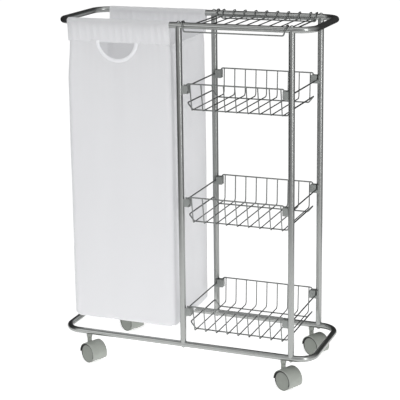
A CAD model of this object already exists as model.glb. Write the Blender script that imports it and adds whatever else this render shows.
"""Slim laundry trolley: finishes, wires, softened mouldings, a hanging cloth bag and a studio."""

import logging
import math
from dataclasses import dataclass, field
from enum import Enum
from typing import Any, Iterable, Sequence

import bmesh
import bpy
from mathutils import Matrix, Vector, noise


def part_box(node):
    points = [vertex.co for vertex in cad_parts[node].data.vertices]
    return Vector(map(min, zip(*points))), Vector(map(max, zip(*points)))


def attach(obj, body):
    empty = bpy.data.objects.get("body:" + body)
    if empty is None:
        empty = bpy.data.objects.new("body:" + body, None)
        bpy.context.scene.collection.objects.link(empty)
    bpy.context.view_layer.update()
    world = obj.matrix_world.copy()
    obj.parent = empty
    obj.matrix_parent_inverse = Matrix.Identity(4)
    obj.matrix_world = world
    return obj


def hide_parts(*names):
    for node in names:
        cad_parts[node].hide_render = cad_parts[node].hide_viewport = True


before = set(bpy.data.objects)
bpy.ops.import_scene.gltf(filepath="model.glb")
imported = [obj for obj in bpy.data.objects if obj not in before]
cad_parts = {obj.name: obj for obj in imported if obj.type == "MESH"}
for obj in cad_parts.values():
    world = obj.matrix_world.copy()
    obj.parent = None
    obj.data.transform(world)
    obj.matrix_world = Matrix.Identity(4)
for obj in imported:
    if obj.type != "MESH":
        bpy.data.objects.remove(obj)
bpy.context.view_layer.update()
LOG = logging.getLogger("trolley")

Colour = tuple[float, float, float]
Point = tuple[float, float, float]
Run = tuple[Sequence[Point], bool]
FlatPlaces = dict[bmesh.types.BMVert, tuple[float, float]]
MM = 0.001
HUB_OFFSET = "hub_offset"
FLAT_ANGLE = 0.8
MOULDED_CREASE = 38.0
WIRE_CREASE = 60.0
WELD = 0.02 * MM
FINE_WELD = 0.004 * MM
GRIME = (0.012, 0.012, 0.012)


class Side(Enum):
    """The two ends of the trolley, by the sign of X."""

    LEFT = -1
    RIGHT = 1


class End(Enum):
    """The front and the rear of the trolley, by the sign of Y."""

    FRONT = -1
    REAR = 1


class Level(Enum):
    """The three baskets, counted from the lowest."""

    BOTTOM = 0
    MIDDLE = 1
    TOP = 2


# ---------------------------------------------------------------- shading


class Value:
    """A socket of a material's node tree. Arithmetic on it adds Math nodes."""

    def __init__(self, graph: "Graph", socket: bpy.types.NodeSocket) -> None:
        """Wraps a socket.

        Args:
            graph: the node tree's builder.
            socket: the output socket that holds the value.
        """
        self.graph = graph
        self.socket = socket

    def math(self, operation: str, *others: "float | Value", first: bool = True) -> "Value":
        """A Math node on this value.

        Args:
            operation: the Math node's operation.
            others: the other operands.
            first: whether this value is the first operand.

        Returns:
            The node's result.
        """
        operands = [self, *others] if first else [*others, self]
        return self.graph.node("ShaderNodeMath", {"operation": operation}, dict(enumerate(operands)))

    def __add__(self, other: "float | Value") -> "Value":
        """Sum."""
        return self.math("ADD", other)

    __radd__ = __add__

    def __mul__(self, other: "float | Value") -> "Value":
        """Product."""
        return self.math("MULTIPLY", other)

    __rmul__ = __mul__

    def __sub__(self, other: "float | Value") -> "Value":
        """Difference."""
        return self.math("SUBTRACT", other)

    def __rsub__(self, other: float) -> "Value":
        """Difference, with this value taken away."""
        return self.math("SUBTRACT", other, first=False)

    def sine(self) -> "Value":
        """Sine, in radians."""
        return self.math("SINE")

    def between(self, low: float, high: float) -> "Value":
        """Smooth step from 0 at low to 1 at high."""
        return self.graph.node(
            "ShaderNodeMapRange",
            {"interpolation_type": "SMOOTHSTEP"},
            {"Value": self, "From Min": low, "From Max": high},
        )


class Graph:
    """The node tree of a material or a world."""

    def __init__(self, name: str, world: bool = False) -> None:
        """Starts an empty tree.

        Args:
            name: the material's or the world's name.
            world: whether it is a world's.
        """
        self.owner = (bpy.data.worlds if world else bpy.data.materials).new(name)
        self.owner.use_nodes = True
        self.tree = self.owner.node_tree
        self.tree.nodes.clear()

    def node(
        self,
        kind: str,
        settings: dict[str, Any] | None = None,
        inputs: dict[int | str, Any] | None = None,
        output: int | str = 0,
    ) -> Value:
        """Adds a node.

        Args:
            kind: the node's type.
            settings: its properties, set first; "stops" holds a colour ramp's (place, colour) pairs.
            inputs: values or links, by the input's name or number.
            output: the output to hand back.

        Returns:
            The chosen output.
        """
        made = self.tree.nodes.new(kind)
        for key, setting in (settings or {}).items():
            if key == "stops":
                ramp = made.color_ramp
                while len(ramp.elements) < len(setting):
                    ramp.elements.new(0.5)
                for element, (place, colour) in zip(ramp.elements, setting):
                    element.position, element.color = place, (*colour, 1.0)
            else:
                setattr(made, key, setting)
        for key, value in (inputs or {}).items():
            if isinstance(value, Value):
                self.tree.links.new(value.socket, made.inputs[key])
            else:
                made.inputs[key].default_value = value
        return Value(self, made.outputs[output])

    def noise(self, where: Value, scale: float, detail: float = 2.0, rough: float = 0.5) -> Value:
        """Noise about 0.5.

        Args:
            where: the coordinates.
            scale: cells to the metre.
            detail: octaves.
            rough: the weight of the finer octaves.

        Returns:
            The noise's factor.
        """
        return self.node(
            "ShaderNodeTexNoise", {}, {"Vector": where, "Scale": scale, "Detail": detail, "Roughness": rough}
        )

    def place(self) -> Value:
        """Object coordinates."""
        return self.node("ShaderNodeTexCoord", output="Object")

    def tint(self, amount: Value, first: "Colour | Value", second: "Colour | Value") -> Value:
        """A colour between two.

        Args:
            amount: 0 for the first, 1 for the second.
            first: the colour at 0.
            second: the colour at 1.

        Returns:
            The mixed colour.
        """
        ends = [end if isinstance(end, Value) else (*end, 1.0) for end in (first, second)]
        return self.node(
            "ShaderNodeMix", {"data_type": "RGBA"}, {"Factor": amount, 6: ends[0], 7: ends[1]}, output=2
        )

    def bump(self, height: Value, distance: float, strength: float) -> Value:
        """A normal from a height.

        Args:
            height: from 0 to 1.
            distance: metres from 0 to 1.
            strength: share of the effect.

        Returns:
            The normal.
        """
        return self.node("ShaderNodeBump", {}, {"Height": height, "Distance": distance, "Strength": strength})

    def finish(self, **inputs: Any) -> bpy.types.Material:
        """Adds the Principled shader and the output.

        Args:
            inputs: the shader's inputs, with _ for a space in their names.

        Returns:
            The material.
        """
        shader = self.node(
            "ShaderNodeBsdfPrincipled", {}, {key.replace("_", " "): value for key, value in inputs.items()}
        )
        self.end("ShaderNodeOutputMaterial", shader)
        return self.owner

    def end(self, kind: str, shader: Value) -> None:
        """Adds the tree's output node and joins a shader to it."""
        self.tree.links.new(shader.socket, self.tree.nodes.new(kind).inputs["Surface"])


def scaled(colour: Colour, factor: float) -> Colour:
    """A colour made lighter or darker."""
    return tuple(min(1.0, part * factor) for part in colour)


@dataclass(frozen=True)
class SatinMetal:
    """Satin plated or lacquered steel: a fine grain, faint cloudiness and small scuffs."""

    name: str
    colour: Colour
    roughness: float
    grain: float = 1400.0
    clouding: float = 0.05
    metallic: float = 1.0

    def build(self) -> bpy.types.Material:
        """Builds the material.

        Returns:
            The material.
        """
        graph = Graph(self.name)
        where = graph.place()
        cloud = graph.noise(where, 22.0, 3.0)
        grain = graph.noise(where, self.grain, 2.0)
        scuff = graph.noise(where, 160.0, 4.0, 0.7).between(0.62, 0.72)
        shade = cloud * 0.7 + grain * 0.3
        dark, light = scaled(self.colour, 1 - self.clouding), scaled(self.colour, 1 + self.clouding)
        return graph.finish(
            Base_Color=graph.tint(shade, dark, light),
            Metallic=self.metallic,
            Roughness=cloud * 0.05 + scuff * 0.02 + (self.roughness - 0.03),
            Normal=graph.bump(grain, 0.05 * MM, 0.03),
        )


@dataclass(frozen=True)
class MouldedPlastic:
    """Moulded plastic with a spark-eroded texture and slightly rubbed colour."""

    name: str
    colour: Colour
    roughness: float
    texture: float = 900.0
    relief: float = 0.12
    shaded_from: float = 0.0
    shaded_to: float = 0.0

    def build(self) -> bpy.types.Material:
        """Builds the material.

        Returns:
            The material.
        """
        graph = Graph(self.name)
        where = graph.place()
        texture = graph.noise(where, self.texture, 3.0, 0.6)
        cloud = graph.noise(where, 40.0, 2.0)
        shade = texture * 0.35 + cloud * 0.65
        colour = graph.tint(shade, scaled(self.colour, 0.86), scaled(self.colour, 1.12))
        if self.shaded_to:
            colour = graph.tint(self.ring(graph), colour, GRIME)
        return graph.finish(
            Base_Color=colour,
            Roughness=texture * 0.15 + (self.roughness - 0.07),
            Normal=graph.bump(texture, self.relief * MM, 0.5),
        )

    def ring(self, graph: Graph) -> Value:
        """Where grime and shade gather: a ring about the hub, above the wheel's lowest part.

        Args:
            graph: the material's node tree.

        Returns:
            0 where clean, 1 where dark.
        """
        hub = graph.node("ShaderNodeAttribute", {"attribute_name": HUB_OFFSET}, output="Vector")
        flat = graph.node("ShaderNodeVectorMath", {"operation": "MULTIPLY"}, {0: hub, 1: (1.0, 1.0, 0.0)})
        out = graph.node("ShaderNodeVectorMath", {"operation": "LENGTH"}, {0: flat}, output="Value")
        height = graph.node("ShaderNodeSeparateXYZ", {}, {"Vector": hub}, output="Y")
        soft = 0.25 * MM
        inner = out.between(self.shaded_from - soft, self.shaded_from + soft)
        outer = 1.0 - out.between(self.shaded_to - soft, self.shaded_to + soft)
        return inner * outer * height.between(-11 * MM, -7 * MM)


@dataclass(frozen=True)
class WovenCloth:
    """Plain woven cotton, from UV coordinates in metres: threads, slubs and soft creases."""

    name: str
    colour: Colour
    thread: float = 1.1 * MM
    relief: float = 0.12

    def build(self) -> bpy.types.Material:
        """Builds the material.

        Returns:
            The material.
        """
        graph = Graph(self.name)
        cloth = graph.node("ShaderNodeTexCoord", output="UV")
        u = graph.node("ShaderNodeSeparateXYZ", {}, {"Vector": cloth}, output="X")
        v = Value(graph, u.socket.node.outputs["Y"])
        turn = 2 * math.pi / self.thread
        weave = (u * turn).sine() * (v * turn).sine() * 0.5 + 0.5
        where = graph.place()
        slub = graph.node("ShaderNodeTexNoise", {}, {
            "Vector": graph.node("ShaderNodeMapping", {}, {"Vector": cloth, "Scale": (900.0, 60.0, 1.0)}),
            "Scale": 1.0, "Detail": 2.0})
        crease = graph.noise(where, 34.0, 4.0, 0.55)
        tone = graph.noise(where, 7.0, 2.0)
        shade = tone * 0.5 + slub * 0.2 + weave * 0.3
        return graph.finish(
            Base_Color=graph.tint(shade, scaled(self.colour, 0.965), scaled(self.colour, 1.03)),
            Roughness=slub * 0.1 + 0.84,
            Normal=graph.bump(weave * self.relief + slub * 0.1 + crease * 0.9, 0.9 * MM, 0.32),
            Sheen_Weight=0.18,
            Sheen_Roughness=0.5,
            Subsurface_Weight=0.85,
            Subsurface_Radius=(1.0, 1.0, 1.0),
            Subsurface_Scale=8.0 * MM,
            Emission_Color=(0.95, 0.96, 1.0, 1.0),
            Emission_Strength=0.20,
        )


class Finishes:
    """Every finish of the trolley, built once, by the record's slot."""

    def __init__(self) -> None:
        """Builds the materials."""
        self.tube = SatinMetal("satin_tube", (0.37, 0.38, 0.37), 0.29).build()
        self.wire = SatinMetal("plated_wire", (0.24, 0.25, 0.245), 0.30, grain=2600.0).build()
        self.screw = SatinMetal("screw_steel", (0.40, 0.41, 0.40), 0.24).build()
        self.inner_steel = SatinMetal("turned_steel", (0.42, 0.42, 0.42), 0.36).build()
        self.bracket = MouldedPlastic("bracket_plastic", (0.27, 0.285, 0.275), 0.42).build()
        self.caster = MouldedPlastic("caster_plastic", (0.30, 0.315, 0.29), 0.46).build()
        self.wheel = MouldedPlastic(
            "wheel_plastic", (0.25, 0.268, 0.24), 0.52, relief=0.2, shaded_from=21.4 * MM, shaded_to=60 * MM
        ).build()
        self.hood = MouldedPlastic(
            "hood_plastic", (0.33, 0.35, 0.318), 0.46, shaded_from=5 * MM, shaded_to=25.8 * MM
        ).build()
        self.inner_plastic = MouldedPlastic("plug_plastic", (0.05, 0.05, 0.05), 0.6).build()
        self.cloth = WovenCloth("bag_cotton", (0.56, 0.56, 0.562)).build()
        self.tape = WovenCloth("bag_tape", (0.70, 0.705, 0.72), thread=0.9 * MM).build()
        self.thread = WovenCloth("bag_thread", (0.66, 0.66, 0.67), thread=0.5 * MM).build()
        self.by_slot: dict[str, bpy.types.Material] = {
            "frame_tube": self.tube,
            "wire": self.wire,
            "bracket_plastic": self.bracket,
            "caster_plastic": self.caster,
            "wheel_plastic": self.wheel,
            "bag_fabric": self.cloth,
            "screw_steel": self.screw,
            "inner_steel": self.inner_steel,
            "inner_plastic": self.inner_plastic,
        }

    def dress_nodes(self) -> None:
        """Gives every carried-over node its finish."""
        for name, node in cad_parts.items():
            found = None
            for place in node.material_slots:
                old = place.material.name.split(".")[0] if place.material else ""
                found = self.by_slot.get(old, self.tube)
                place.material = found
            LOG.info("node %s: %s", name, found.name if found else "no slot")


# ---------------------------------------------------------------- making pieces


def new_piece(
    name: str,
    mesh: bpy.types.Mesh,
    material: bpy.types.Material,
    body: str,
    stands_for: Sequence[str] = (),
) -> bpy.types.Object:
    """Puts a mesh in the scene as a finished piece.

    Args:
        name: the piece's name.
        mesh: its mesh, in place.
        material: its finish.
        body: the body that it moves with.
        stands_for: the nodes that it replaces.

    Returns:
        The piece.
    """
    mesh.materials.clear()
    mesh.materials.append(material)
    piece = bpy.data.objects.new(name, mesh)
    bpy.context.scene.collection.objects.link(piece)
    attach(piece, body)
    if stands_for:
        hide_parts(*stands_for)
    LOG.info("piece %s on %s: %d faces", name, body, len(mesh.polygons))
    return piece


def mesh_of(shape: bmesh.types.BMesh, name: str, smooth: bool = True) -> bpy.types.Mesh:
    """Turns a bmesh into a mesh.

    Args:
        shape: the bmesh, freed afterwards.
        name: the mesh's name.
        smooth: whether its faces are shaded smooth.

    Returns:
        The mesh.
    """
    for face in shape.faces:
        face.smooth = smooth
    mesh = bpy.data.meshes.new(name)
    shape.to_mesh(mesh)
    shape.free()
    return mesh


def turned_edges(shape: bmesh.types.BMesh, angle: float) -> list[bmesh.types.BMEdge]:
    """The edges between two faces that turn by more than an angle, in degrees."""
    limit = math.radians(angle)
    return [e for e in shape.edges if len(e.link_faces) == 2 and e.calc_face_angle(0.0) > limit]


def sharpen(mesh: bpy.types.Mesh, angle: float) -> None:
    """Marks the edges that turn by more than an angle, in degrees, as sharp."""
    shape = bmesh.new()
    shape.from_mesh(mesh)
    for edge in turned_edges(shape, angle):
        edge.smooth = False
    shape.to_mesh(mesh)
    shape.free()


def softened(node: str, width: float, angle: float = 32.0, segments: int = 2) -> bpy.types.Mesh:
    """A copy of a node's mesh with merged corners and rounded edges.

    Args:
        node: the node's name.
        width: the width of the rounding, in metres.
        angle: edges that turn by more than this, in degrees, are rounded.
        segments: the faces across a rounding.

    Returns:
        The mesh.
    """
    shape = bmesh.new()
    shape.from_mesh(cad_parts[node].data)
    bmesh.ops.remove_doubles(shape, verts=shape.verts, dist=WELD)
    bmesh.ops.dissolve_limit(
        shape, angle_limit=math.radians(FLAT_ANGLE), verts=shape.verts, edges=shape.edges,
        use_dissolve_boundaries=False,
    )
    edges = turned_edges(shape, angle)
    bmesh.ops.bevel(
        shape, geom=edges, offset=width, offset_type="OFFSET", affect="EDGES", segments=segments, profile=0.5,
        material=-1, clamp_overlap=True,
    )
    bmesh.ops.remove_doubles(shape, verts=shape.verts, dist=FINE_WELD)
    bmesh.ops.triangulate(shape, faces=[f for f in shape.faces if len(f.verts) > 4])
    mesh = mesh_of(shape, node + "_soft")
    sharpen(mesh, MOULDED_CREASE)
    return mesh


def filleted(points: Sequence[Point], radius: float, closed: bool, steps: int = 6) -> list[Vector]:
    """Rounds the corners of a path.

    Args:
        points: the path's corners.
        radius: the bend radius on the centre line.
        closed: whether the path closes on itself.
        steps: the points along each bend.

    Returns:
        The rounded path.
    """
    corners = [Vector(p) for p in points]
    count = len(corners)
    path: list[Vector] = []
    for i, corner in enumerate(corners):
        if not closed and i in (0, count - 1):
            path.append(corner)
            continue
        back = corners[i - 1] - corner
        ahead = corners[(i + 1) % count] - corner
        turn = math.pi - back.angle(ahead)
        if turn < 0.02:
            path.append(corner)
            continue
        reach = min(radius * math.tan(turn / 2), 0.47 * back.length, 0.47 * ahead.length)
        bend = reach / math.tan(turn / 2)
        start = corner + back.normalized() * reach
        middle = corner + (back.normalized() + ahead.normalized()).normalized() * (bend / math.cos(turn / 2))
        spin = (start - middle).cross(corner + ahead.normalized() * reach - middle).normalized()
        for k in range(steps + 1):
            path.append(middle + Matrix.Rotation(turn * k / steps, 3, spin) @ (start - middle))
    return path


def wire_mesh(name: str, runs: Iterable[Run], radius: float, bend: float) -> bpy.types.Mesh:
    """Sweeps round wires along paths.

    Args:
        name: the mesh's name.
        runs: the paths, each with whether it closes.
        radius: the wires' radius.
        bend: the bend radius of their centre lines.

    Returns:
        The mesh of all the wires.
    """
    curve = bpy.data.curves.new(name, "CURVE")
    curve.dimensions = "3D"
    curve.bevel_depth = radius
    curve.bevel_resolution = 4
    curve.use_fill_caps = True
    for points, closed in runs:
        path = filleted(points, bend, closed)
        spline = curve.splines.new("POLY")
        spline.points.add(len(path) - 1)
        for target, point in zip(spline.points, path):
            target.co = (*point, 1.0)
        spline.use_cyclic_u = closed
    holder = bpy.data.objects.new(name, curve)
    mesh = bpy.data.meshes.new_from_object(holder)
    bpy.data.objects.remove(holder)
    bpy.data.curves.remove(curve)
    mesh.name = name
    for face in mesh.polygons:
        face.use_smooth = True
    sharpen(mesh, WIRE_CREASE)
    return mesh


def wavy(x: float, y: float, z: float) -> float:
    """Smooth noise from about -1 to 1, the same on every run."""
    return noise.noise(Vector((x, y, z)))


def ease(low: float, high: float, value: float) -> float:
    """Smooth step from 0 at low to 1 at high."""
    t = max(0.0, min(1.0, (value - low) / (high - low)))
    return t * t * (3 - 2 * t)


def lay_flat(shape: bmesh.types.BMesh, layer: bmesh.types.BMLayerItem, flat: FlatPlaces) -> None:
    """Fills a UV layer from each vertex's place on the flat cloth, in metres."""
    for face in shape.faces:
        for corner in face.loops:
            corner[layer].uv = flat[corner.vert]


# ---------------------------------------------------------------- wires


@dataclass
class WireBasket:
    """One basket: rim, cross wires and floor ring. Sizes are in metres."""

    level: Level
    finishes: Finishes
    rim_r: float = 1.75 * MM
    cross_r: float = 1.4 * MM
    drop: float = 68.5 * MM
    rim_step: float = 13.5 * MM
    lean: float = 11 * MM
    rear_lean: float = 3 * MM
    rear_bend: float = 5 * MM
    ring_inset: float = 33 * MM
    ring_rise: float = 16.5 * MM
    ring_side: float = 7 * MM
    raise_x: float = 20.5 * MM
    corner_x: float = 11.35 * MM
    corner_y: float = 12.22 * MM
    side_x: float = 3.5 * MM
    margin: float = 26.3 * MM
    count: int = 9
    sink: float = 0.35 * MM
    rim_bend: float = 5 * MM
    cross_bend: float = 4.5 * MM
    left: float = field(init=False)
    right: float = field(init=False)
    half_depth: float = field(init=False)
    rim_z: float = field(init=False)

    def __post_init__(self) -> None:
        """Takes the basket's place from its nodes."""
        low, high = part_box(self.node("rim"))
        self.left = low.x + self.rim_r - self.side_x
        self.right = high.x - self.rim_r + self.side_x
        self.half_depth = high.y - self.rim_r
        self.rim_z = high.z - self.rim_r

    def node(self, part: str) -> str:
        """The name of one of the basket's nodes."""
        return f"basket_{self.level.name.lower()}_{part}"

    def build(self) -> list[bpy.types.Object]:
        """Builds the three pieces.

        Returns:
            The pieces.
        """
        body = f"basket_{self.level.name.lower()}"
        made = []
        for part, runs, radius, bend in (
            ("rim", [(self.rim(), True)], self.rim_r, self.rim_bend),
            ("cross_wires", self.cross_wires(), self.cross_r, self.cross_bend),
            ("floor_ring", [(self.ring(), True)], self.rim_r, self.rim_bend),
        ):
            name = self.node(part)
            mesh = wire_mesh(name + "_wire", runs, radius, bend)
            made.append(new_piece(name + "_formed", mesh, self.finishes.wire, body, [name]))
        return made

    def corner(self, side: Side, end: End) -> list[Point]:
        """The rim's way from a side wire round an upright to its raised level."""
        x = self.left if side is Side.LEFT else self.right
        low = self.rim_z - self.rim_step
        into = -side.value
        return [
            (x + into * self.side_x, end.value * (self.half_depth - self.corner_y), low),
            (x + into * self.corner_x, end.value * self.half_depth, low),
            (x + into * self.raise_x, end.value * self.half_depth, self.rim_z),
        ]

    def rim(self) -> list[Point]:
        """The rim's corners, in order."""
        return (
            self.corner(Side.LEFT, End.FRONT) + self.corner(Side.RIGHT, End.FRONT)[::-1]
            + self.corner(Side.RIGHT, End.REAR) + self.corner(Side.LEFT, End.REAR)[::-1]
        )

    def cross_wires(self) -> list[Run]:
        """The cross wires' paths."""
        floor = self.rim_z - self.drop + self.rim_r + self.cross_r - self.sink
        pitch = (self.right - self.left - 2 * self.margin) / (self.count - 1)
        depth = self.half_depth
        return [
            ([(x, -depth, self.rim_z), (x, self.lean - depth, floor),
              (x, depth - self.rear_lean - self.rear_bend, floor),
              (x, depth - self.rear_lean, floor + self.rear_bend), (x, depth, self.rim_z)], False)
            for x in (self.left + self.margin + i * pitch for i in range(self.count))
        ]

    def ring(self) -> list[Point]:
        """The floor ring's corners, in order."""
        low = self.rim_z - self.drop
        high = low + self.ring_rise
        y = self.half_depth - self.ring_inset
        near = (self.left + self.raise_x, self.right - self.raise_x)
        far = (self.left + self.ring_side, self.right - self.ring_side)
        return [
            (near[1], -y, low), (far[1], -y, high), (far[1], y, high), (near[1], y, low),
            (near[0], y, low), (far[0], y, high), (far[0], -y, high), (near[0], -y, low),
        ]


@dataclass
class WireShelf:
    """The wire shelf that hooks over the top rails. Sizes are in metres."""

    finishes: Finishes
    rim_r: float = 1.75 * MM
    cross_r: float = 1.4 * MM
    over_rail: float = 9.55 * MM
    margin: float = 11 * MM
    lip_corner: float = 6 * MM
    lip_drop: float = 13.5 * MM
    tray_drop: float = 6 * MM
    first_wire: float = 15.3 * MM
    count: int = 9
    left: float = field(init=False)
    right: float = field(init=False)
    half_depth: float = field(init=False)
    rail_z: float = field(init=False)

    def __post_init__(self) -> None:
        """Takes the shelf's place from its nodes."""
        low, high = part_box("shelf_frame_wire")
        self.left = low.x + self.rim_r
        self.right = high.x - self.rim_r
        self.half_depth = high.y - self.rim_r - self.over_rail
        self.rail_z = high.z - self.rim_r - self.over_rail

    def build(self) -> list[bpy.types.Object]:
        """Builds the two pieces.

        Returns:
            The pieces.
        """
        frame_wire = wire_mesh("shelf_frame_run", [(self.loop(), True)], self.rim_r, 5 * MM)
        cross = wire_mesh("shelf_cross_run", self.cross_wires(), self.cross_r, 4.5 * MM)
        bearers = wire_mesh("shelf_bearer_run", self.bearers(), self.rim_r, 4 * MM)
        shape = bmesh.new()
        shape.from_mesh(cross)
        shape.from_mesh(bearers)
        joined = mesh_of(shape, "shelf_cross_run")
        sharpen(joined, WIRE_CREASE)
        wire = self.finishes.wire
        return [
            new_piece("shelf_frame_wire_formed", frame_wire, wire, "shelf", ["shelf_frame_wire"]),
            new_piece("shelf_cross_wires_formed", joined, wire, "shelf", ["shelf_cross_wires"]),
        ]

    def loop(self) -> list[Point]:
        """The corners of the frame wire, in order."""
        lip, wall = self.half_depth + self.over_rail, self.half_depth - self.over_rail
        low, high = self.rail_z - self.lip_drop, self.rail_z + self.over_rail
        tray = self.rail_z - self.tray_drop

        def end(x: float, inward: float) -> list[Point]:
            """One end, from the front lip to the rear lip."""
            return [
                (x + inward, -lip, low), (x, -lip, high), (x, -wall, high), (x, -wall, tray),
                (x, wall, tray), (x, wall, high), (x, lip, high), (x + inward, lip, low),
            ]

        return end(self.right, -self.lip_corner) + end(self.left, self.lip_corner)[::-1]

    def places(self) -> list[float]:
        """The cross wires' places along X."""
        span = self.right - self.left - 2 * self.first_wire
        return [self.left + self.first_wire + i * span / (self.count - 1) for i in range(self.count)]

    def cross_wires(self) -> list[Run]:
        """The cross wires' paths."""
        lip, wall = self.half_depth + self.over_rail, self.half_depth - self.over_rail
        high, tray = self.rail_z + self.over_rail, self.rail_z - self.tray_drop
        return [
            ([(x, -wall, tray), (x, wall, tray), (x, wall, high), (x, lip, high),
              (x, lip, self.rail_z - self.lip_drop)], False)
            for x in self.places()
        ]

    def bearers(self) -> list[Run]:
        """The two wires along the tray's front and rear."""
        tray, wall = self.rail_z - self.tray_drop, self.half_depth - self.over_rail
        return [([(self.left, y, tray), (self.right, y, tray)], False) for y in (-wall, wall)]


# ---------------------------------------------------------------- mouldings


@dataclass
class Mouldings:
    """The plastic and metal nodes that need rounded edges."""

    finishes: Finishes
    bracket_edge: float = 1.0 * MM
    hood_edge: float = 0.7 * MM
    wheel_edge: float = 0.6 * MM
    socket_edge: float = 0.6 * MM
    recess: float = 2.2 * MM

    def build(self) -> list[bpy.types.Object]:
        """Builds the rounded brackets, hoods and wheels.

        Returns:
            The pieces.
        """
        made, looks = [], self.finishes
        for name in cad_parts:
            if name.startswith("bracket_") and name != "bracket_screws":
                made.append(self.piece(name, self.bracket_edge, looks.bracket, "bracket_plastic", "frame"))
            elif name.startswith("caster_hood_"):
                corner = name.removeprefix("caster_hood_")
                body = "caster_" + corner
                hood = self.piece(name, self.hood_edge, looks.hood, "caster_plastic", body)
                self.note_hub(hood.data, corner)
                made.append(hood)
            elif name.startswith("wheel_"):
                wheel = self.piece(name, self.wheel_edge, looks.wheel, "wheel_plastic", name)
                self.note_hub(wheel.data, name.split("_", 2)[2], self.recess)
                made.append(wheel)
        made.append(self.piece("caster_sockets", self.socket_edge, looks.caster, "caster_plastic", "frame"))
        return made

    @staticmethod
    def note_hub(mesh: bpy.types.Mesh, corner: str, recess: float = 0.0) -> None:
        """Stores each vertex's place from its caster's hub: across, up and along the axle.

        Args:
            mesh: the wheel's or the hood's mesh.
            corner: the caster's corner.
            recess: the distance that an outer face is sunk into the hood.
        """
        middles = []
        for wheel in ("outer", "inner"):
            low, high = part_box(f"wheel_{wheel}_{corner}")
            middles.append((Vector(low) + Vector(high)) / 2)
        hub, axle = (middles[0] + middles[1]) / 2, (middles[1] - middles[0]).normalized()
        across = Vector((0, 0, 1)).cross(axle)
        reach = max(abs((v.co - hub).dot(axle)) for v in mesh.vertices)
        offsets = mesh.attributes.new(HUB_OFFSET, "FLOAT_VECTOR", "POINT")
        for vert, stored in zip(mesh.vertices, offsets.data):
            off = vert.co - hub
            along = off.dot(axle)
            if recess and abs(along) > reach - 1 * MM:
                vert.co -= axle * math.copysign(recess, along)
            stored.vector = (off.dot(across), off.z, along)

    @staticmethod
    def piece(name: str, edge: float, material: bpy.types.Material, slot: str, body: str) -> bpy.types.Object:
        """One rounded piece in place of its node."""
        return new_piece(name + "_moulded", softened(name, edge), material, body, [name])


# ---------------------------------------------------------------- bag


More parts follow.
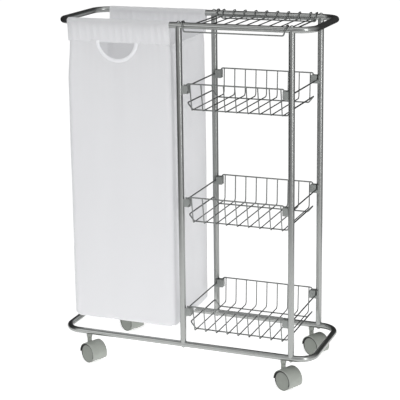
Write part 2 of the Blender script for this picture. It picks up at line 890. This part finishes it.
@dataclass
class LaundryBag:
    """The hanging bag: body, two sleeves, grip tape, hems and stitching. Sizes are in metres."""

    finishes: Finishes
    wall: float = 0.9 * MM
    edge_r: float = 14 * MM
    base_r: float = 10 * MM
    seam_drop: float = 45 * MM
    grip_half: float = 55.5 * MM
    grip_drop: float = 53 * MM
    tape_half: float = 4.6 * MM
    overlap: float = 2 * MM
    bend_r: float = 42 * MM
    around: int = 190
    rows: int = 150
    left: float = field(init=False)
    right: float = field(init=False)
    floor: float = field(init=False)
    rail_z: float = field(init=False)
    half_depth: float = field(init=False)
    rail_r: float = field(init=False)
    bend_x: float = field(init=False)

    def __post_init__(self) -> None:
        """Takes the bag's place from its node and its rail."""
        low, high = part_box("laundry_bag")
        rail_low, rail_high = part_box("top_rail_left")
        self.left, self.right, self.floor = low.x, high.x, low.z
        self.rail_z = (rail_low.z + rail_high.z) / 2
        self.rail_r = (rail_high.z - rail_low.z) / 2
        self.half_depth = rail_high.y - self.rail_r
        self.bend_x = rail_low.x + self.rail_r + self.bend_r

    @property
    def seam_z(self) -> float:
        """Height of the seams between sleeves and panels."""
        return self.rail_z - self.seam_drop

    @property
    def middle(self) -> float:
        """The bag's middle along X."""
        return (self.left + self.right) / 2

    @property
    def half_width(self) -> float:
        """Half of the bag's width."""
        return (self.right - self.left) / 2

    @property
    def grip_top(self) -> float:
        """The height that the grip's outline is centred on."""
        return self.seam_z + 1 * MM

    @staticmethod
    def side_sag(inside: float) -> float:
        """How far a side panel's top edge hangs, from 0 at its corners to 1 in its middle."""
        return 5 * MM + 6 * MM * inside

    def build(self) -> list[bpy.types.Object]:
        """Builds the bag.

        Returns:
            The pieces.
        """
        cloth, tape = self.finishes.cloth, self.finishes.tape
        sleeves = [
            new_piece(f"bag_sleeve_{end.name.lower()}", self.sleeve(end), cloth, "frame")
            for end in End
        ]
        grip = new_piece("bag_grip_tape", self.grip_tape(), tape, "frame")
        hems = [
            new_piece(f"bag_hem_{side.name.lower()}", self.side_hem(side), cloth, "frame")
            for side in Side
        ]
        stitches = new_piece("bag_stitching", self.stitching(), self.finishes.thread, "frame")
        body = new_piece("bag_body", self.body(), cloth, "frame", ["laundry_bag"])
        for piece in (body, *sleeves):
            thick = piece.modifiers.new("cloth thickness", "SOLIDIFY")
            thick.thickness = self.wall
            thick.offset = 0.0
            thick.use_rim = True
        rise = self.seam_z - self.floor
        round_it = 4 * (self.half_width + self.half_depth)
        base = 4 * self.half_width * self.half_depth
        rise + base / round_it
        return [body, *sleeves, grip, *hems, stitches]

    # The loop round the bag, seen from above, from the middle of the rear panel

    def loop(self, share: float) -> tuple[Vector, Vector, float, float]:
        """A place on the loop.

        Args:
            share: from 0 to 1 round the bag.

        Returns:
            The place from the bag's middle, the outward direction, how far it is into a front or rear panel
            and how far into a side panel, each from 0 at the corners to 1 in the middle.
        """
        hx, hy, r = self.half_width, self.half_depth, self.edge_r
        flat_x, flat_y, bend = hx - r, hy - r, math.pi * r / 2
        total = 4 * flat_x + 4 * flat_y + 4 * bend
        s = (share % 1.0) * total
        stretches = [
            (flat_x, (0, hy), (-1, 0)), (bend, (-flat_x, flat_y), 90),
            (2 * flat_y, (-hx, flat_y), (0, -1)), (bend, (-flat_x, -flat_y), 180),
            (2 * flat_x, (-flat_x, -hy), (1, 0)), (bend, (flat_x, -flat_y), 270),
            (2 * flat_y, (hx, -flat_y), (0, 1)), (bend, (flat_x, flat_y), 0),
            (flat_x, (flat_x, hy), (-1, 0)),
        ]
        for length, start, way in stretches:
            if s <= length or (length, start, way) == stretches[-1]:
                break
            s -= length
        if isinstance(way, tuple):
            place = Vector((start[0] + way[0] * s, start[1] + way[1] * s, 0))
            out = Vector((way[1], -way[0], 0))
        else:
            turn = math.radians(way) + s / r
            out = Vector((math.cos(turn), math.sin(turn), 0))
            place = Vector((start[0], start[1], 0)) + out * r
        along_x = max(0.0, 1 - (place.x / hx) ** 2) if abs(out.y) > 0.9 else 0.0
        along_y = max(0.0, 1 - (place.y / hy) ** 2) if abs(out.x) > 0.9 else 0.0
        return place, out, along_x, along_y

    def gather(self, x: float) -> float:
        """The small folds along a sleeve, from about -1 to 1."""
        sway = wavy(x * 14, 1.7, 0.3) * 5
        return 0.6 * math.sin(x * 2 * math.pi / (19 * MM) + sway) + 0.6 * wavy(x * 90, 4.1, 0.9)

    def wall_point(self, share: float, z: float) -> Vector:
        """A place on the bag's hanging wall.

        Args:
            share: from 0 to 1 round the bag.
            z: its height.

        Returns:
            The place in the trolley's frame.
        """
        place, out, face, side = self.loop(share)
        rise = (z - self.floor) / (self.seam_z - self.floor)
        below = self.seam_z - z
        swell = -9 * MM * side * ease(0.35, 1.0, rise) + 4 * MM * side * (1 - ease(0.0, 0.5, rise))
        swell += 1.6 * MM * face * math.sin(math.pi * min(1.0, rise)) * (1 if out.y < 0 else 1.5)
        broad = wavy(place.x * 6 + 3, place.y * 6, z * 2.6)
        fine = wavy(place.x * 17, place.y * 17 + 5, z * 6 + 2)
        tall = wavy(place.x * 26 + 1, place.y * 30, z * 1.3 + 7)
        held = 1 - 0.75 * ease(0.93, 1.0, rise)
        swell += held * (2.3 * broad * MM + 0.8 * fine * MM + 1.1 * tall * MM)
        fade = math.exp(-below / (38 * MM)) + 0.25 * math.exp(-below / (140 * MM))
        if abs(out.y) > 0.9:
            swell += 0.75 * MM * self.gather(place.x) * fade
        pull, reach = (8 * MM, 110 * MM) if place.x < 0 else (3 * MM, 34 * MM)
        narrow = pull * ease(reach, 0.0, below) * abs(place.x) / self.half_width
        sink = 0.8 * MM * math.exp(-((z - self.floor - 24 * MM) / (1.6 * MM)) ** 2) * (1 if side > 0 else 0)
        place = place + out * (swell - sink)
        place.x -= math.copysign(narrow, place.x)
        place.x += self.middle
        place.z = z
        return place

    def body(self) -> bpy.types.Mesh:
        """The body: base, walls and the grip opening, as one sheet.

        Returns:
            The mesh.
        """
        shape = bmesh.new()
        bmesh.ops.create_grid(shape, x_segments=self.around, y_segments=self.rows, size=0.5)
        sheet_uv = shape.loops.layers.uv.new("cloth")
        base_rows, bend_rows = 12, 5
        place_of: FlatPlaces = {}
        total = 4 * (self.half_width + self.half_depth)
        for vert in shape.verts:
            share, row = vert.co.x + 0.5, round((vert.co.y + 0.5) * self.rows)
            edge = self.loop(share)[0]
            if row <= base_rows:
                spread = (1 - self.base_r / self.half_depth) * (0.02 + 0.98 * row / base_rows)
                at = Vector((edge.x * spread + self.middle, edge.y * spread, self.floor))
                at.z += 1.2 * MM * wavy(at.x * 30, at.y * 30, 2.0) * spread + 0.6 * MM
                run = edge.length * spread
            elif row <= base_rows + bend_rows:
                turn = math.pi / 2 * (row - base_rows) / bend_rows
                at = self.wall_point(share, self.floor + self.base_r)
                inward = Vector((self.middle - at.x, -at.y, 0)).normalized()
                at += inward * self.base_r * (1 - math.sin(turn))
                at.z = self.floor + self.base_r * (1 - math.cos(turn))
                run = at.z - self.floor
            else:
                up = (row - base_rows - bend_rows) / (self.rows - base_rows - bend_rows)
                out = self.loop(share)[1]
                sag = self.side_sag(self.loop(share)[3])
                top = self.seam_z + self.overlap - sag * ease(0.3, 0.95, abs(out.x))
                z = self.floor + self.base_r + up * (top - self.floor - self.base_r)
                at = self.wall_point(share, z)
                run = z - self.floor
            corner = ease(0.06, 0.0, abs(abs(edge.x) / self.half_width - 1)) * ease(
                0.08, 0.0, abs(abs(edge.y) / self.half_depth - 1))
            at.z += 7 * MM * corner * math.exp(-max(0.0, at.z - self.floor) / (16 * MM))
            place_of[vert] = (share * total, run)
            vert.co = at
        lay_flat(shape, sheet_uv, place_of)
        self.open_grip(shape)
        bmesh.ops.remove_doubles(shape, verts=shape.verts, dist=0.2 * MM)
        hole = [e for e in shape.edges if e.is_boundary and self.at_base(e)]
        bmesh.ops.holes_fill(shape, edges=hole, sides=400)
        bmesh.ops.recalc_face_normals(shape, faces=shape.faces)
        return mesh_of(shape, "bag_body")

    def at_base(self, edge: bmesh.types.BMEdge) -> bool:
        """Whether an open edge is the small one in the middle of the base."""
        return all(v.co.z < self.floor + 6 * MM for v in edge.verts)

    def grip_share(self, at: Vector) -> float:
        """How far out a place on the front panel is in the grip's outline, where 1 is on it."""
        across = (at.x - self.middle) / (self.grip_half - self.tape_half)
        down = (self.grip_top - at.z) / (self.grip_drop - self.tape_half)
        return math.hypot(across, down)

    def open_grip(self, shape: bmesh.types.BMesh) -> None:
        """Cuts the grip opening out of the front panel.

        Args:
            shape: the body's bmesh.
        """
        front = [f for f in shape.faces if f.calc_center_median().y < -self.half_depth + 12 * MM]
        inside = [f for f in front if self.grip_share(f.calc_center_median()) < 1]
        outside = set(front) - set(inside)
        rim = {v for f in inside for v in f.verts} & {v for f in outside for v in f.verts}
        bmesh.ops.delete(shape, geom=inside, context="FACES")
        for vert in rim:
            if vert.is_valid and vert.co.z < self.seam_z - 1 * MM:
                share = self.grip_share(vert.co)
                centre = Vector((self.middle, vert.co.y, self.grip_top))
                vert.co = centre + (vert.co - centre) / share

    def front_y(self, x: float, z: float) -> float:
        """Where the front panel is at a place, from front to rear."""
        flat_x, bend = self.half_width - self.edge_r, math.pi * self.edge_r / 2
        total = 4 * flat_x + 4 * (self.half_depth - self.edge_r) + 4 * bend
        start = flat_x + 2 * bend + 2 * (self.half_depth - self.edge_r)
        return self.wall_point((start + (x - self.middle) + flat_x) / total, z).y

    def swept(
        self, name: str, path: list[Vector], out: list[Vector], half: float, thick: float
    ) -> bpy.types.Mesh:
        """A flat tape with a rounded section along a path.

        Args:
            name: the mesh's name.
            path: the tape's middle line.
            out: the direction that it faces at each point.
            half: half of its width.
            thick: half of its thickness.

        Returns:
            The mesh, with closed ends.
        """
        shape = bmesh.new()
        sides, steps = 14, len(path) - 1
        bmesh.ops.create_grid(shape, x_segments=steps, y_segments=sides, size=0.5)
        uv = shape.loops.layers.uv.new("cloth")
        flat: FlatPlaces = {}
        for vert in shape.verts:
            i, turn = round((vert.co.x + 0.5) * steps), (vert.co.y + 0.5) * 2 * math.pi
            way = (path[min(i + 1, steps)] - path[max(i - 1, 0)]).normalized()
            across = way.cross(out[i]).normalized()
            flat[vert] = (i * 2.5 * MM, turn * half)
            vert.co = path[i] + across * half * math.cos(turn) + out[i] * thick * math.sin(turn)
        lay_flat(shape, uv, flat)
        bmesh.ops.remove_doubles(shape, verts=shape.verts, dist=0.01 * MM)
        bmesh.ops.holes_fill(shape, edges=[e for e in shape.edges if e.is_boundary], sides=sides + 2)
        bmesh.ops.recalc_face_normals(shape, faces=shape.faces)
        return mesh_of(shape, name)

    def grip_tape(self) -> bpy.types.Mesh:
        """The tape round the grip's curved edge."""
        path, out = [], []
        steps = 72
        for k in range(steps + 1):
            turn = math.pi * k / steps
            x = self.middle + (self.grip_half - self.tape_half) * math.cos(turn)
            z = self.grip_top - (self.grip_drop - self.tape_half) * math.sin(turn)
            path.append(Vector((x, self.front_y(x, z) - 0.3 * MM, z)))
            out.append(Vector((0, -1, 0)))
        return self.swept("bag_grip_tape", path, out, self.tape_half, 1.15 * MM)

    def side_hem(self, side: Side) -> bpy.types.Mesh:
        """The folded hem along a side panel's top edge."""
        path, out = [], []
        for share in (k / 400 for k in range(400)):
            _, way, _, inside = self.loop(share)
            if way.x * side.value < 0.9 or inside <= 0.01:
                continue
            z = self.seam_z + self.overlap - self.side_sag(inside) - 5.5 * MM
            path.append(self.wall_point(share, z))
            out.append(Vector((side.value, 0, 0)))
        return self.swept(f"bag_hem_{side.name.lower()}", path, out, 6 * MM, 1.1 * MM)

    def sleeve(self, end: End) -> bpy.types.Mesh:
        """A rod pocket over a rail, open at both ends.

        Args:
            end: the front or the rear one.

        Returns:
            The mesh.
        """
        shape = bmesh.new()
        along, round_it = 150, 56
        bmesh.ops.create_grid(shape, x_segments=along, y_segments=round_it, size=0.5)
        uv = shape.loops.layers.uv.new("cloth")
        flat: FlatPlaces = {}
        r = self.rail_r + 1.1 * MM
        foot = self.seam_drop + 3.5 * MM
        lean = math.acos(r / foot)
        straight, arc = math.sqrt(foot * foot - r * r), r * (2 * math.pi - 2 * lean)
        total = 2 * straight + arc
        for vert in shape.verts:
            t, s = vert.co.x + 0.5, (vert.co.y + 0.5) * total
            if s < straight or s > total - straight:
                front = s < straight
                reach = s if front else total - s
                start, tip = Vector((0, -foot)), self.on_circle(r, (-lean if front else lean) - math.pi / 2)
                at = start.lerp(tip, reach / straight)
                way = (tip - start).normalized()
                out = Vector((-way.y, way.x)) if front else Vector((way.y, -way.x))
                loose = math.sin(math.pi * reach / straight) * 1.3 + 0.35
            else:
                turn = -math.pi / 2 - lean - (s - straight) / r
                at = self.on_circle(r, turn)
                out = at.normalized()
                loose = 0.3
            low = ease(-8 * MM, -foot, at.y)
            span = self.right - self.left
            tuck = 12 * MM - 4 * MM * low
            x = self.left + tuck * (1 - t) + t * span - 1.0 * MM * low * t
            ripple = 0.8 * MM * loose * (self.gather(x) + 0.8 * wavy(x * 40, at.y * 30, end.value))
            at = at + out * max(ripple, -0.5 * MM)
            flat[vert] = (t * span, s)
            centre, inward = self.along_rail(x)
            spot = centre + inward * at.x
            vert.co = (spot.x, -end.value * spot.y, self.rail_z + at.y)
        lay_flat(shape, uv, flat)
        bmesh.ops.recalc_face_normals(shape, faces=shape.faces)
        return mesh_of(shape, f"bag_sleeve_{end.name.lower()}")

    def along_rail(self, x: float) -> tuple[Vector, Vector]:
        """The front rail's centre line and inward normal, seen from above, round the start of its bend."""
        beyond = self.bend_x - x
        if beyond <= 0:
            return Vector((x, -self.half_depth)), Vector((0, 1))
        turn = beyond / self.bend_r
        x = self.bend_x - self.bend_r * math.sin(turn)
        y = -self.half_depth + self.bend_r * (1 - math.cos(turn))
        return Vector((x, y)), Vector((math.sin(turn), math.cos(turn)))

    @staticmethod
    def on_circle(r: float, turn: float) -> Vector:
        """A point on a circle about the rail's axis, across and up."""
        return Vector((r * math.cos(turn), r * math.sin(turn)))

    def stitching(self) -> bpy.types.Mesh:
        """The stitches along the two sleeve seams."""
        shape = bmesh.new()
        pitch, row_z = 4.2 * MM, self.seam_z - 0.2 * MM
        count = int((self.right - self.left - 17 * MM) / pitch)
        for end in End:
            for i in range(count):
                x = self.left + 11 * MM + i * pitch
                y = -self.front_y(x, row_z) if end is End.REAR else self.front_y(x, row_z)
                spot = Matrix.Translation((x, y + end.value * 1.15 * MM, row_z)) @ Matrix.Diagonal(
                    (1.35 * MM, 0.35 * MM, 0.35 * MM, 1.0))
                bmesh.ops.create_icosphere(shape, subdivisions=1, radius=1.0, matrix=spot)
        return mesh_of(shape, "bag_stitching")


# ---------------------------------------------------------------- studio


@dataclass
class Studio:
    """Floor, lights, surroundings and camera."""

    eye: Point = (1.1654, -2.9387, 1.2855)
    turn: float = 21.561
    pitch: float = 12.773
    roll: float = -0.73
    lens: float = 117.45
    shift: float = -0.15
    floor_r: float = 1.25

    def build(self) -> None:
        """Sets up the whole studio."""
        self.floor()
        self.surroundings()
        self.lights()
        self.camera()
        bpy.context.scene.view_settings.view_transform = "Standard"

    def floor(self) -> None:
        """A round pale floor."""
        shape = bmesh.new()
        bmesh.ops.create_circle(shape, cap_ends=True, segments=96, radius=self.floor_r)
        mesh = mesh_of(shape, "studio_floor")
        graph = Graph("studio_floor")
        mottle = graph.noise(graph.place(), 3.0)
        mesh.materials.append(graph.finish(
            Base_Color=graph.tint(mottle, (0.93, 0.93, 0.93), (0.96, 0.96, 0.96)), Roughness=0.9,
            Specular_IOR_Level=0.1, Emission_Color=(1.0, 1.0, 1.0, 1.0), Emission_Strength=0.72))
        floor = bpy.data.objects.new("studio_floor", mesh)
        bpy.context.scene.collection.objects.link(floor)

    def surroundings(self) -> None:
        """A white backdrop, with darker surroundings for what the metal mirrors."""
        graph = Graph("studio", world=True)
        bpy.context.scene.world = graph.owner
        sky = graph.node("ShaderNodeTexCoord", output="Generated")
        bright = Vector((0.70, -0.62, 0.35)).normalized()
        facing = graph.node(
            "ShaderNodeVectorMath", {"operation": "DOT_PRODUCT"}, {0: sky, 1: bright}, output="Value"
        )
        spread = graph.node("ShaderNodeMapRange", {}, {"Value": facing, "From Min": -1.0})
        greys = ((0.0, 0.03), (0.42, 0.06), (0.60, 0.24), (0.78, 0.52), (1.0, 0.66))
        stops = [(place, (grey, grey, grey * 1.01)) for place, grey in greys]
        ramp = graph.node("ShaderNodeValToRGB", {"stops": stops}, {"Fac": spread})
        room = graph.node("ShaderNodeBackground", {}, {"Color": ramp, "Strength": 1.0})
        white = (1.0, 1.0, 1.0, 1.0)
        backdrop = graph.node("ShaderNodeBackground", {}, {"Color": white, "Strength": 1.05})
        seen = graph.node("ShaderNodeLightPath", output="Is Camera Ray")
        mix = graph.node("ShaderNodeMixShader", {}, {"Fac": seen, 1: room, 2: backdrop})
        graph.end("ShaderNodeOutputWorld", mix)

    def lights(self) -> None:
        """A tall strip to the right, a broad one to the left and one overhead."""
        for name, at, size, power in (
            ("strip_right", (2.2, -1.6, 1.1), (0.45, 2.4), 21.0),
            ("broad_left", (-1.5, -2.6, 1.4), (1.6, 1.8), 13.0),
            ("overhead", (0.2, -0.5, 2.9), (2.2, 1.4), 9.0),
        ):
            data = bpy.data.lights.new(name, "AREA")
            data.shape, data.energy = "RECTANGLE", power
            data.size, data.size_y = size
            lamp = bpy.data.objects.new(name, data)
            lamp.location = at
            aim = Vector((0.0, 0.0, 0.45)) - Vector(at)
            lamp.rotation_euler = aim.to_track_quat("-Z", "Y").to_euler()
            bpy.context.scene.collection.objects.link(lamp)

    def camera(self) -> None:
        """The camera, turned, pitched and rolled as set."""
        turn, pitch, roll = (math.radians(a) for a in (self.turn, self.pitch, self.roll))
        back = Vector((math.sin(turn) * math.cos(pitch), -math.cos(turn) * math.cos(pitch), math.sin(pitch)))
        right = (-back).cross(Vector((0, 0, 1))).normalized()
        up = right.cross(-back)
        across = right * math.cos(roll) + up * math.sin(roll)
        upward = up * math.cos(roll) - right * math.sin(roll)
        data = bpy.data.cameras.new("camera")
        data.lens, data.sensor_width, data.shift_y = self.lens, 36.0, self.shift
        data.clip_start, data.clip_end = 0.05, 60.0
        camera = bpy.data.objects.new("camera", data)
        facing = Matrix((across, upward, back)).transposed().to_4x4()
        camera.matrix_world = Matrix.Translation(self.eye) @ facing
        bpy.context.scene.collection.objects.link(camera)
        bpy.context.scene.camera = camera


def main() -> None:
    """Builds the trolley's looks, in order."""
    logging.basicConfig(level=logging.INFO, format="%(name)s: %(message)s")
    finishes = Finishes()
    finishes.dress_nodes()
    WireShelf(finishes).build()
    for level in Level:
        WireBasket(level, finishes).build()
    Mouldings(finishes).build()
    LaundryBag(finishes).build()
    Studio().build()


if __name__ == "__main__":
    main()
